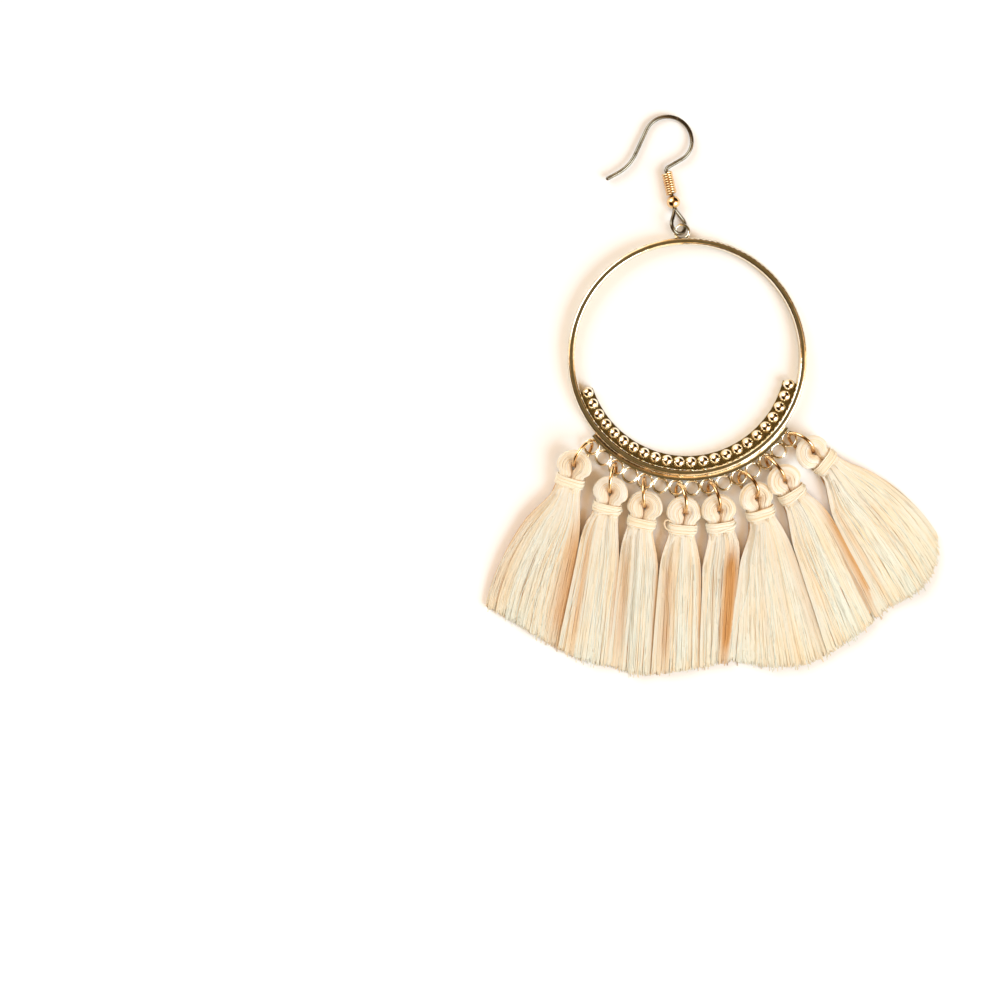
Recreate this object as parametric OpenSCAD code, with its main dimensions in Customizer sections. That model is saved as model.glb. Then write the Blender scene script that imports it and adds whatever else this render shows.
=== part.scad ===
// Tassel earring that lies flat: a cast hoop with a row of beads inside it and a row of eyelets
// outside it, thread tassels that hang on jump rings, and an ear wire with a coil and a bead.
// Millimetres, +Z up. The origin is the hoop's centre, on the surface that the earring lies on.
// The ear wire points to +Y, and the tassels fan out towards -Y.

/* [Hoop] */
// Outer diameter of the hoop
hoop_d = 40; // [37:0.5:46]
// Width of the plain ring along the radius
ring_w = 1.2; // [1:0.1:1.4]
// Height of the ring above the surface
ring_h = 2.2; // [1.9:0.1:2.6]
// Rounding of the ring's long edges
ring_round = 0.3; // [0.15:0.05:0.4]

/* [Bead row] */
// Diameter of a bead of the inner row
row_bead_d = 1.9; // [1.6:0.1:2.1]
// How many beads stand in the inner row
row_beads = 23; // [15:2:25]
// Space between two beads of the row
row_space = 0.13; // [0.1:0.01:0.3]
// Groove between the beads and the ring
row_groove = 0.2; // [0.15:0.05:0.4]
// How far the beads stand above the ring
row_proud = 0.1; // [0:0.05:0.3]
// Thickness of the ledge that carries the beads
ledge_h = 0.8; // [0.7:0.05:1.1]
// Rim of the ledge that shows inside the beads
ledge_rim = 0.1; // [0.05:0.05:0.3]

/* [Eyelets] */
// Diameter of the hole in an eyelet
eyelet_hole_d = 1.9; // [1.8:0.05:2.2]
// Metal round the hole of an eyelet
eyelet_wall = 0.48; // [0.4:0.02:0.6]
// Thickness of the eyelet row
eyelet_h = 0.6; // [0.5:0.05:0.7]
// Distance from the ring to the holes of the eyelets
eyelet_shoulder = 1; // [0.8:0.05:1.2]
// Diameter of the hole in the top eye
top_hole_d = 1.9; // [1.8:0.05:2.1]
// Metal round the hole of the top eye
top_wall = 0.46; // [0.4:0.02:0.56]

/* [Jump rings] */
// Outer diameter of a jump ring
jump_d = 5.4; // [5.2:0.1:6]
// Diameter of the jump rings' wire
jump_wire_d = 0.6; // [0.5:0.05:0.65]

/* [Tassels] */
// Diameter of the folded hank in a tassel's head
strand_d = 2.3; // [2:0.05:2.4]
// Diameter of each half of the hank under the binding
neck_strand_d = 2.2; // [2:0.05:2.3]
// Hole in a tassel's head for the jump ring
head_hole_d = 1.15; // [1.1:0.05:1.3]
// Distance from the top of the fold to the binding
head_l = 4.4; // [4.2:0.1:5]
// Length of the skirt below the binding
skirt_l = 22.8; // [18:0.2:28]
// Thickness of a skirt where it is fullest
skirt_t = 2.9; // [2.4:0.1:3.4]
// Gap between two skirts that lie side by side
skirt_gap = 0.24; // [0.16:0.02:0.5]
// How far the two outermost skirts bow outwards
skirt_bow = 1.9; // [1:0.1:2.4]

/* [Bindings] */
// Length of the wound band round a tassel's neck
binding_l = 1.9; // [1.5:0.1:2.4]
// Thickness of the binding's thread
binding_thread_d = 0.38; // [0.3:0.02:0.45]

/* [Ear wire] */
// Diameter of the ear wire
wire_d = 0.65; // [0.6:0.01:0.7]
// Length of the straight stem, from the eye's apex to the first bend
stem_l = 6.6; // [6:0.1:7.5]
// Radius of the arch that sits in the ear
arch_r = 3.9; // [3.4:0.1:4.6]
// Length of the straight tip
tip_l = 1.8; // [1.6:0.1:2.6]
// Radius of the round end of the wire's eye
wire_eye_r = 1.5; // [1.4:0.05:1.6]
// Height of the wire's eye, from its round end to its apex
wire_eye_h = 4.1; // [3.8:0.1:4.6]
// Diameter of the bead on the stem
stem_bead_d = 2.25; // [2.1:0.05:2.5]
// Diameter of the coil's wire
coil_wire_d = 0.47; // [0.4:0.01:0.5]
// Length of the coil
coil_l = 4.1; // [3.4:0.1:4.2]
// Stem that shows between the wire's eye and the bead
stem_show = 0.2; // [0.1:0.05:0.4]

/* [Fits] */
// Gap between pieces that are threaded on each other
clearance = 0.04; // [0.03:0.01:0.06]
// Gap between a tassel's fold and its jump ring
fold_gap = 0.12; // [0.1:0.02:0.16]
// Gap between a binding and the neck inside it
neck_gap = 0.09; // [0.07:0.01:0.12]
// Gap between the coil and the stem inside it
coil_gap = 0.14; // [0.1:0.01:0.18]
// Gap between the surface and what lies close over it
lift = 0.03; // [0.02:0.01:0.05]
// Depth to which soldered or cast pieces run into each other
weld = 0.18; // [0.14:0.02:0.22]

/* [Hidden] */
// Each tassel, from left to right. The columns are: the way the jump ring points and the way the
// head points, in degrees from straight down, the ring's lean to one side, the number of locks,
// how far the hem's middle hangs out as a share of the skirt, and how much of that is on the right.
JUMP_WAY = 0;
HEAD_WAY = 1;
LEAN = 2;
LOCKS = 3;
HEM_ROUND = 4;
HEM_RIGHT = 5;
TASSELS = [
    [-37, -18, 22, 6, 0, 0],
    [-12, -14, 12, 5, 0.02, 0],
    [-1, -13.5, 8, 5, 0.02, 0],
    [8, -6, -14, 5, 0, 0],
    [15, 7, -12, 4, 0, 0],
    [28, 16, -24, 7, 0.07, 0.3],
    [35, 30, -10, 6, 0.015, 0],
    [49, 51, -22, 7, 0.13, 0.65]
];
// The corners of the skirts' hems, from left to right, with one corner between two neighbours.
// The columns are: the place along the eyelet row, in eyelets from the middle, and the length.
HEM_PLACE = 0;
HEM_REACH = 1;
HEMS = [
    [-5.9, 1.06],
    [-3.67, 1.05],
    [-2.33, 1.045],
    [-1.19, 1.05],
    [0.04, 0.99],
    [0.86, 0.965],
    [3.37, 1.12],
    [5.03, 1.07],
    [7.5, 0.965]
];
// Sections along a skirt. The columns are: the place along it, as a share of its length, and its
// thickness, as a share of the fullest.
AT = 0;
FULL = 1;
SKIRT = [
    [0, 0.66],
    [0.1, 0.94],
    [0.3, 1],
    [0.55, 0.88],
    [0.8, 0.7],
    [1, 0.5]
];
// Bends of the ear wire from the stem to the tip. The columns are: the radius as a share of the
// arch's, the turn in degrees with left turns above zero, the straight run after the bend as a
// share of the arch's radius.
BEND_R = 0;
TURN = 1;
RUN = 2;
BENDS = [
    [0.18, -72, 0.65],
    [0.9, 57, 0],
    [1.07, 68, 0],
    [1, 90, 1.14],
    [1.8, -37, 0]
];

tassels = len(TASSELS);
hoop_r = hoop_d / 2;
ring_in_r = hoop_r - ring_w;
mid_z = ring_h / 2;

row_r = ring_in_r - row_groove - row_bead_d / 2;
row_step = 2 * asin((row_bead_d + row_space) / 2 / row_r);
row_z = ring_h + row_proud - row_bead_d / 2;
ledge_in_r = row_r - row_bead_d / 2 - ledge_rim;
ledge_end = row_bead_d / 4 / row_r * 180 / PI;
ledge_span = (row_beads - 1) * row_step + 2 * ledge_end;

eyelets = 2 * tassels - 1;
eyelet_r = hoop_r + eyelet_shoulder + eyelet_hole_d / 2;
eyelet_step = 2 * asin((eyelet_hole_d + 2 * eyelet_wall - weld) / 2 / eyelet_r);
band_r = hoop_r + eyelet_shoulder - eyelet_wall + weld;
band_span = eyelets * eyelet_step;

top_eye_r = top_hole_d / 2 + top_wall / 2;
top_eye_y = hoop_r + clearance + top_hole_d / 2;

jump_r = (jump_d - jump_wire_d) / 2;
fold_r = (head_hole_d + strand_d) / 2;
fold_top = fold_r + strand_d / 2;
binding_from = head_l - fold_top;
binding_to = binding_from + binding_l;
// The halves of the hank press into each other under the binding.
neck_press = 0.45;
neck_half = neck_strand_d * neck_press;
neck_z = neck_strand_d / 2 + neck_gap + binding_thread_d + lift;
neck_slope = 12;
binding_turns = 5;
wound_groove = 0.3;
facets = 8;

bead_y = wire_eye_h + stem_show + stem_bead_d / 2;
coil_y = bead_y + stem_bead_d / 2 + clearance;
coil_press = 0.97;
coil_turns = ceil(coil_l / (coil_wire_d * coil_press));
coil_r = wire_d / 2 + coil_gap + coil_wire_d / 2;
bend_y = wire_eye_h + stem_l;
join_gap = 0.03;
hook_lean = 10;

function mix(a, b, t) = a * (1 - t) + b * t;
function smooth(t) = let (u = min(max(t, 0), 1)) u * u * (3 - 2 * u);
// The direction that points a degrees to the right of straight down, and the one to its left
function way(a) = [sin(a), -cos(a)];
function side(a) = [cos(a), sin(a)];
function at_z(p, z) = [p[0], p[1], z];

// The angle of eyelet k, counted from the middle one
function eyelet_angle(k) = k * eyelet_step;
function tassel_angle(i) = eyelet_angle(2 * i - tassels + 1);

// A jump ring stands on the surface, leans to one side and crosses the middle of its eyelet.
function jump_z(i) = jump_r * cos(TASSELS[i][LEAN]) + jump_wire_d / 2;
function jump_rise(i) = (jump_z(i) - mid_z) / (jump_r * cos(TASSELS[i][LEAN]));
function jump_shift(i) = (jump_z(i) - mid_z) * tan(TASSELS[i][LEAN]);
function jump_centre(i) =
    eyelet_r * way(tassel_angle(i))
    + jump_r * sqrt(1 - pow(jump_rise(i), 2)) * way(TASSELS[i][JUMP_WAY])
    - jump_shift(i) * side(TASSELS[i][JUMP_WAY]);

// The middle of a head's hole, where the far side of the jump ring goes through it
function hole_xy(i) = jump_centre(i) + (jump_r + head_hole_d / 2 - jump_wire_d / 2 - fold_gap)
    * way(TASSELS[i][JUMP_WAY]);
// A point of a head: a runs down the tassel from the hole, b to its side
function head_point(i, a, b, z) =
    at_z(hole_xy(i) + a * way(TASSELS[i][HEAD_WAY]) + b * side(TASSELS[i][HEAD_WAY]), z);
function neck_at(a) = neck_z + (binding_to - a) * tan(neck_slope);
// The path of half the hank: round the fold, then down to the skirt. It is straight between two
// places that are given as shares of the way from the hole to the binding.
FOLD_STEPS = 3;
FOLD_ENDS = 0.1;
NECK_STARTS = 0.7;
function hank_path(i, s) = concat(
    [for (k = [0:FOLD_STEPS]) let (f = 90 * k / FOLD_STEPS)
        head_point(i, -fold_r * cos(f), s * fold_r * sin(f),
            jump_z(i) + s * fold_r * sin(f) * sin(TASSELS[i][LEAN]))],
    [head_point(i, binding_from * FOLD_ENDS, s * fold_r,
        jump_z(i) + s * fold_r * sin(TASSELS[i][LEAN]))],
    [for (a = [binding_from * NECK_STARTS, binding_to, binding_to + neck_strand_d / 2])
        head_point(i, a, s * neck_half, neck_at(a))]
);
function hank_d(k) = k <= FOLD_STEPS + 1 ? strand_d : neck_strand_d;

// Skirts. Two neighbours share the line from between their necks to the hem's corner.
skirt_from = binding_to + binding_thread_d;
shoulder = 0.48;
neck_w = neck_half + neck_strand_d * shoulder;
merge = 0.3;
fan_r = eyelet_r + jump_d - 2 * jump_wire_d + binding_to;
function neck_corner(i, s) = let (p = head_point(i, skirt_from, s * neck_w, 0)) [p[0], p[1]];
function hem_corner(j) =
    (fan_r + skirt_l * HEMS[j][HEM_REACH]) * way(eyelet_angle(HEMS[j][HEM_PLACE]));
function crotch(j) = j == 0 ? neck_corner(0, -1)
    : j == tassels ? neck_corner(tassels - 1, 1)
    : mix(neck_corner(j - 1, 1), neck_corner(j, -1), 0.5);
function bow_way(j) = j == 0 ? -side(TASSELS[0][HEAD_WAY])
    : j == tassels ? side(TASSELS[tassels - 1][HEAD_WAY]) : [0, 0];
function border(j, t) = mix(crotch(j), hem_corner(j), t) + 4 * t * (1 - t) * skirt_bow * bow_way(j);
// The edge of skirt i on its left, s = -1, or its right, s = 1
function skirt_edge(i, s, t) = mix(
    neck_corner(i, s) + t * skirt_l * way(TASSELS[i][HEAD_WAY]),
    border(s < 0 ? i : i + 1, t) - s * skirt_gap / 2 * side(TASSELS[i][HEAD_WAY]),
    smooth(t / merge));
// The thickness of a skirt as a share of the fullest, and the height of its underside, at t down
// it. It comes down to the surface within a share of its length.
landing = 0.15;
function skirt_full(t, n = 0) = t >= 1 ? SKIRT[len(SKIRT) - 1][FULL]
    : t < SKIRT[n + 1][AT]
        ? mix(SKIRT[n][FULL], SKIRT[n + 1][FULL], (t - SKIRT[n][AT]) / (SKIRT[n + 1][AT] - SKIRT[n][AT]))
        : skirt_full(t, n + 1);
function skirt_under(t) = mix(neck_z - skirt_t * SKIRT[0][FULL] / 2, 0, smooth(t / landing));

// Locks of a skirt: each spans a share of the width and is a closed loft of oval sections.
LOCK_SIDES = 8;
lock_lap = 1.3;
hem_ragged = 0.02;
lock_uneven = 0.09;
edge_thin = 0.4;
function lock_mid(i, k) = -1 + (2 * k + 1) / TASSELS[i][LOCKS];
function lock_lo(i, k) = max(-1, lock_mid(i, k) - lock_lap / TASSELS[i][LOCKS]);
function lock_hi(i, k) = min(1, lock_mid(i, k) + lock_lap / TASSELS[i][LOCKS]);
function hem_round(i, s) = TASSELS[i][HEM_ROUND] * (1 - s * s) * (1 + TASSELS[i][HEM_RIGHT] * s);
// Two angles with no simple ratio make each lock's length and fullness its own.
function own(i, k) = sin(137 * k + 71 * i);
function lock_length(i, k) = 1 + hem_round(i, lock_mid(i, k)) - hem_ragged * (1 - own(i, k));
function lock_full(i, k) =
    (1 - edge_thin * pow(lock_mid(i, k), 2)) * (1 + lock_uneven * own(k, i));
function lock_point(i, k, t, f) =
    let (
        s = mix(lock_lo(i, k), lock_hi(i, k), (1 + cos(f)) / 2),
        p = mix(skirt_edge(i, -1, t), skirt_edge(i, 1, t), (1 + s) / 2),
        h = skirt_t * skirt_full(t) * lock_full(i, k)
    )
    at_z(p, skirt_under(t) + h * (1 + sin(f)) / 2);
function lock_sections(i, k) = [for (row = SKIRT)
    [for (n = [0:LOCK_SIDES - 1])
        lock_point(i, k, row[AT] * lock_length(i, k), 360 * n / LOCK_SIDES)]];

// A closed solid through rings of points, each with as many points as the next
module loft(rings) {
    n = len(rings[0]);
    last = len(rings) - 1;
    polyhedron(
        points = [for (ring = rings) each ring],
        faces = concat(
            [[for (k = [0:n - 1]) k]],
            [for (r = [0:last - 1]) for (k = [0:n - 1]) let (m = (k + 1) % n)
                each [[r * n + k, r * n + n + m, r * n + m], [r * n + k, r * n + n + k, r * n + n + m]]],
            [[for (k = [n - 1:-1:0]) last * n + k]]
        )
    );
}

// A band through rings of points that closes on itself both ways round
module closed_band(rings) {
    n = len(rings[0]);
    m = len(rings);
    polyhedron(
        points = [for (ring = rings) each ring],
        faces = [for (r = [0:m - 1]) for (k = [0:n - 1])
            let (r2 = (r + 1) % m, k2 = (k + 1) % n)
            each [[r * n + k, r * n + k2, r2 * n + k2], [r * n + k, r2 * n + k2, r2 * n + k]]]
    );
}

// A rectangle with round corners, its lower left corner at the origin
module soft_rect(w, h, r) {
    translate([r, 0]) square([w - 2 * r, h]);
    translate([0, r]) square([w, h - 2 * r]);
    for (x = [r, w - r], y = [r, h - r])
        translate([x, y]) circle(r, $fn = 32);
}

// An eye of flat wire with round edges: r is the radius of the wire's middle line
module eye_ring(r, w, h) {
    rotate_extrude($fn = 48) {
        translate([r - w / 2, -(h - w) / 2]) square([w, h - w]);
        for (s = [-1, 1])
            translate([r, s * (h - w) / 2]) circle(w / 2, $fn = 24);
    }
}

// A stretch of a ring, with its middle at -Y
module arc_span(span) {
    rotate([0, 0, -90 - span / 2])
        rotate_extrude(angle = span, $fn = 180)
            children();
}

module hoop() {
    color("#DDBB80") {
        rotate_extrude($fn = 180)
            translate([ring_in_r, 0]) soft_rect(ring_w, ring_h, ring_round);
        bead_row();
        eyelet_row();
        top_eye();
    }
}

module bead_row() {
    arc_span(ledge_span)
        translate([ledge_in_r, 0]) square([ring_in_r + weld - ledge_in_r, ledge_h]);
    for (k = [0:row_beads - 1])
        at_z_turn((k - (row_beads - 1) / 2) * row_step)
            translate([row_r, 0, row_z]) sphere(d = row_bead_d, $fn = 32);
}

module eyelet_row() {
    arc_span(band_span)
        translate([hoop_r - weld, mid_z - eyelet_h / 2])
            square([band_r - hoop_r + weld, eyelet_h]);
    for (k = [1 - tassels:tassels - 1])
        at_z_turn(eyelet_angle(k))
            translate([eyelet_r, 0, mid_z])
                eye_ring((eyelet_hole_d + eyelet_wall) / 2, eyelet_wall, eyelet_h);
}

// Turns what lies on +X to the angle a to the right of straight down
module at_z_turn(a) {
    rotate([0, 0, a - 90]) children();
}

module top_eye() {
    translate([0, top_eye_y, mid_z]) eye_ring(top_eye_r, top_wall, eyelet_h);
}

module jump_ring(i) {
    color("#E4C489")
        translate(at_z(jump_centre(i), jump_z(i)))
            rotate([0, 0, TASSELS[i][JUMP_WAY] - 90])
                rotate([TASSELS[i][LEAN] + 90, 0, 0])
                    rotate_extrude($fn = 64)
                        translate([jump_r, 0]) circle(d = jump_wire_d, $fn = 24);
}

module hank(i) {
    for (s = [-1, 1]) {
        path = hank_path(i, s);
        for (k = [0:len(path) - 2])
            hull() {
                translate(path[k]) sphere(d = hank_d(k), $fn = facets);
                translate(path[k + 1]) sphere(d = hank_d(k + 1), $fn = facets);
            }
    }
}

module tassel(i) {
    color("#F5DFC0") {
        hank(i);
        for (k = [0:TASSELS[i][LOCKS] - 1])
            loft(lock_sections(i, k));
    }
}

// A racetrack round the two halves of the neck, r outside each half's middle
ARC_POINTS = 6;
function track(i, a, r) = [for (s = [-1, 1], k = [0:ARC_POINTS - 1])
    let (f = -90 + 180 * k / (ARC_POINTS - 1))
    head_point(i, a + s * r * sin(f) * sin(neck_slope), s * (neck_half + r * cos(f)),
        neck_at(a) + s * r * sin(f) * cos(neck_slope))];

module binding(i) {
    turn = binding_l / binding_turns;
    in_r = (neck_strand_d / 2 + neck_gap) / cos(90 / (ARC_POINTS - 1));
    out_r = in_r + binding_thread_d;
    groove_r = out_r - binding_thread_d * wound_groove;
    color("#FFF0DA")
        closed_band(concat(
            [track(i, binding_from, in_r)],
            [for (n = [0:binding_turns - 1], p = [[0, groove_r], [0.5, out_r]])
                track(i, binding_from + turn * (n + p[0]), p[1])],
            [track(i, binding_to, groove_r), track(i, binding_to, in_r)]
        ));
}

// The ear wire lies on its bead and on the end of its coil, so it slopes away from the hoop. Its
// eye is twisted until it touches down beside the hoop's top eye, whose middle it goes through.
hook_drop = asin((stem_bead_d / 2 - coil_r - coil_wire_d / 2) / (coil_y + coil_l - bead_y));
hook_z = stem_bead_d / 2 + lift + bead_y * sin(hook_drop);
wire_eye_twist = asin((hook_z - wire_d / 2 - lift) / wire_eye_r - sin(hook_drop));
eye_turn = asin((hook_z - mid_z) / (wire_eye_r * sin(wire_eye_twist)));
hook_x = -wire_eye_r * sin(eye_turn) * cos(wire_eye_twist);
eye_slack = 0.14;
hook_y = top_eye_y - top_hole_d * eye_slack - wire_eye_r * (1 - cos(eye_turn));

module hook_place() {
    translate([hook_x, hook_y, hook_z])
        rotate([0, 0, hook_lean])
            rotate([-hook_drop, 0, 0])
                children();
}

// A straight wire of length l along +Y
module wire(l) {
    rotate([-90, 0, 0]) cylinder(d = wire_d, h = l, $fn = 32);
}

// The straight tip with its round end
module tip() {
    rotate([-90, 0, 0])
        rotate_extrude($fn = 32) {
            square([wire_d / 2, tip_l]);
            intersection() {
                translate([0, tip_l]) circle(d = wire_d, $fn = 32);
                square([wire_d, tip_l + wire_d]);
            }
        }
}

// A slight knuckle closes each joint of the wire, and what it joins ends inside it. The one at
// the eye's apex is fuller, because three wires meet there.
knuckle_full = 1.06;
apex_full = 1.25;
module knuckle(full = knuckle_full) {
    sphere(d = wire_d * full, $fn = 32);
}

// The bends from row k on, from the origin towards +Y, with the straight tip after the last
module bends(k) {
    knuckle();
    if (k == len(BENDS)) {
        translate([0, join_gap, 0]) tip();
    } else {
        r = BENDS[k][BEND_R] * arch_r;
        turn = BENDS[k][TURN];
        run = BENDS[k][RUN] * arch_r;
        s = sign(turn);
        trim = join_gap / r * 180 / PI;
        translate([-s * r, 0, 0]) {
            rotate([0, 0, trim + (s > 0 ? 0 : 180 + turn)])
                rotate_extrude(angle = abs(turn) - 2 * trim, $fn = 96)
                    translate([r, 0]) circle(d = wire_d, $fn = 32);
            rotate([0, 0, turn])
                translate([s * r, 0, 0]) {
                    if (run > 0) {
                        knuckle();
                        translate([0, join_gap, 0]) wire(run - 2 * join_gap);
                    }
                    translate([0, run, 0]) bends(k + 1);
                }
        }
    }
}

// The teardrop eye: a round end, and two straight sides that meet at the stem
module wire_eye() {
    apex = wire_eye_h - wire_eye_r;
    half = acos(wire_eye_r / apex);
    translate([0, wire_eye_r, 0]) {
        rotate([0, 0, 90 + half])
            rotate_extrude(angle = 360 - 2 * half, $fn = 96)
                translate([wire_eye_r, 0]) circle(d = wire_d, $fn = 32);
        for (s = [-1, 1])
            rotate([0, 0, s * half])
                translate([0, wire_eye_r, 0])
                    rotate([0, 0, -s * 90])
                        wire(apex * sin(half));
    }
}

module ear_hook() {
    color("#CFC4AE") hook_place() {
        rotate([0, wire_eye_twist, 0]) wire_eye();
        translate([0, wire_eye_h, 0]) {
            knuckle(apex_full);
            wire(stem_l - join_gap);
        }
        translate([0, bend_y, 0]) bends(0);
    }
}

module hook_bead() {
    color("#E4C489") hook_place()
        translate([0, bead_y, 0])
            difference() {
                sphere(d = stem_bead_d, $fn = 48);
                rotate([90, 0, 0])
                    cylinder(d = wire_d + 2 * clearance, h = stem_bead_d * 2, center = true, $fn = 32);
            }
}

// The coil's turns press against each other, each a ring round the stem.
module hook_coil() {
    step = coil_l / coil_turns;
    color("#E4C489") hook_place()
        translate([0, coil_y, 0])
            rotate([-90, 0, 0])
                rotate_extrude($fn = 48)
                    for (k = [0:coil_turns - 1])
                        translate([coil_r, (k + 0.5) * step]) circle(d = coil_wire_d, $fn = 24);
}

hoop();
ear_hook();
hook_coil();
hook_bead();
for (i = [0:tassels - 1]) {
    jump_ring(i);
    tassel(i);
    binding(i);
}
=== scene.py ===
# %% [markdown]
# # A tassel earring, laid on a white table
#
# The earring is one gold-plated hoop with a row of cast beads inside it and a row of eyelets
# outside it. Thread tassels hang on small jump rings, and an ear wire links the hoop's top eye.
# The metal and the forms under the threads come from the solid model, so this lesson adds what a
# solid can't show: the threads, the wound bindings, the coiled wire, and how each surface looks.
#
# First comes the solid model.

# %% Load the solid model
import math

import bmesh
import bpy
import numpy as np
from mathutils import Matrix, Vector
from mathutils.bvhtree import BVHTree


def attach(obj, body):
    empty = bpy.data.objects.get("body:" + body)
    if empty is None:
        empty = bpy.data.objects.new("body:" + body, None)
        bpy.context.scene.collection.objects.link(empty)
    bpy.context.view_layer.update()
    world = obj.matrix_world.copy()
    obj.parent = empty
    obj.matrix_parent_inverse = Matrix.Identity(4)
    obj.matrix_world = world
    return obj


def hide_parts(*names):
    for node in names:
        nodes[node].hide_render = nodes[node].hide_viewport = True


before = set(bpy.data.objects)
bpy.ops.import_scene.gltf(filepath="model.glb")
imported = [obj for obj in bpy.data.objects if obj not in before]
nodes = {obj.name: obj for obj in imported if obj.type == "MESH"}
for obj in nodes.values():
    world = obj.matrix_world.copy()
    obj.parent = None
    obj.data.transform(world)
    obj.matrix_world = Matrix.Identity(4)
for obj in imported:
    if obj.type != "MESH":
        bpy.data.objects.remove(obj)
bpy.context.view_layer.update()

# %% [markdown]
# ## Sizes
#
# The threads follow the tassels, so this cell states again the sizes that the tassels are drawn
# from, in millimetres and degrees. Blender works in metres, and `MM` turns one into the other.

# %% Sizes of the tassels, in millimetres and degrees
MM = 0.001

MID_Z = 1.1
EYELET_R = 21.95
EYELET_STEP = 7.0
JUMP_R = 2.4
JUMP_WIRE = 0.6
STRAND_D = 2.3
NECK_STRAND_D = 2.2
HEAD_HOLE_D = 1.15
HEAD_L = 4.4
SKIRT_L = 22.8
SKIRT_GAP = 0.24
SKIRT_BOW = 1.9
BINDING_L = 1.9
BINDING_THREAD = 0.38
FOLD_GAP = 0.12
NECK_GAP = 0.09
LIFT = 0.03
NECK_SLOPE = 12.0
# How far each strand's middle lies from the neck's, and how far the skirt's shoulder stands out
# from there, as shares of a strand's thickness
NECK_PRESS = 0.45
SHOULDER = 0.48
# The share of the way down by which a skirt's edge has gone to its border with the next
MERGE = 0.3

# One row for each tassel: the way that its ring points, the way that its head points, its lean,
# how far the middle of its hem hangs out, and how much of that is on the right
RING_WAY, HEAD_WAY, LEAN, HEM_ROUND, HEM_RIGHT = range(5)
TASSELS = [
    (-37, -18, 22, 0, 0),
    (-12, -14, 12, 0.02, 0),
    (-1, -13.5, 8, 0.02, 0),
    (8, -6, -14, 0, 0),
    (15, 7, -12, 0, 0),
    (28, 16, -24, 0.07, 0.3),
    (35, 30, -10, 0.015, 0),
    (49, 51, -22, 0.13, 0.65),
]
# One row for each corner of the hems: the place along the eyelets, and the length
HEMS = [
    (-5.9, 1.06),
    (-3.67, 1.05),
    (-2.33, 1.045),
    (-1.19, 1.05),
    (0.04, 0.99),
    (0.86, 0.965),
    (3.37, 1.12),
    (5.03, 1.07),
    (7.5, 0.965),
]

FOLD_R = (HEAD_HOLE_D + STRAND_D) / 2
BINDING_FROM = HEAD_L - FOLD_R - STRAND_D / 2
BINDING_TO = BINDING_FROM + BINDING_L
NECK_HALF = NECK_STRAND_D * NECK_PRESS
NECK_Z = NECK_STRAND_D / 2 + NECK_GAP + BINDING_THREAD + LIFT
SKIRT_FROM = BINDING_TO + BINDING_THREAD
NECK_W = NECK_HALF + NECK_STRAND_D * SHOULDER
FAN_R = EYELET_R + 2 * JUMP_R - JUMP_WIRE + BINDING_TO
print(f"binding from {BINDING_FROM:.2f} to {BINDING_TO:.2f} mm below the head's hole")

# %% [markdown]
# ## Camera
#
# The earring is seen from straight above. It sits right of the picture's middle and is turned by
# 2.3 degrees. The lens is shifted a little, so that the point right under the camera is a tenth of
# the picture above its middle.

# %% Camera
PIXELS = 1000
PIXELS_A_MM = 5.97
FIELD_MM = PIXELS / PIXELS_A_MM
HEIGHT_MM = 360
SENSOR_MM = 36
ROLL = math.radians(2.3)
SHIFT = -0.1
# The point right under the camera, in millimetres from the hoop's middle
UNDER_X, UNDER_Y = -31.58, -5.94


def camera():
    data = bpy.data.cameras.new("camera")
    data.sensor_width = SENSOR_MM
    data.lens = SENSOR_MM * HEIGHT_MM / FIELD_MM
    data.shift_y = SHIFT
    data.clip_start = 0.01
    eye = bpy.data.objects.new("camera", data)
    eye.location = (UNDER_X * MM, UNDER_Y * MM, (HEIGHT_MM + MID_Z) * MM)
    eye.rotation_euler = (0, 0, -ROLL)
    bpy.context.scene.collection.objects.link(eye)
    bpy.context.scene.camera = eye
    return eye


eye = camera()
print(f"camera {HEIGHT_MM} mm up, lens {eye.data.lens:.1f} mm")

# %% [markdown]
# ## Colours and nodes
#
# Colours are written as the hex values that a picture editor shows, and a shader wants linear
# light, so one function turns one into the other. One more function adds a node, and every
# material and every tree below is built with it.

# %% Colour and node helpers
def linear(hex_colour):
    channels = [int(hex_colour[i : i + 2], 16) / 255 for i in (1, 3, 5)]
    return [c / 12.92 if c <= 0.04045 else ((c + 0.055) / 1.055) ** 2.4 for c in channels] + [1.0]


def add(tree, kind, sockets=None, stops=(), **settings):
    """Adds a node with its settings, what its sockets take and, on a colour ramp, its stops.

    A socket goes by its name or number. It takes an output, a node, which stands for its first
    output, a hex colour, or any other value.
    """
    node = tree.nodes.new(kind)
    for name, value in settings.items():
        setattr(node, name, value)
    for key, value in (sockets or {}).items():
        if isinstance(value, bpy.types.Node):
            value = value.outputs[0]
        if isinstance(value, bpy.types.NodeSocket):
            tree.links.new(value, node.inputs[key])
        elif isinstance(value, str) and value.startswith("#"):
            node.inputs[key].default_value = linear(value)
        else:
            node.inputs[key].default_value = value
    if stops:
        elements = node.color_ramp.elements
        while len(elements) < len(stops):
            elements.new(0.5)
        for element, (place, colour) in zip(elements, stops):
            element.position = place
            element.color = linear(colour)
    return node


def material(name):
    made = bpy.data.materials.new(name)
    made.use_nodes = True
    made.node_tree.nodes.clear()
    return made, made.node_tree


print("white is", linear("#FFFFFF"))
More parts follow.
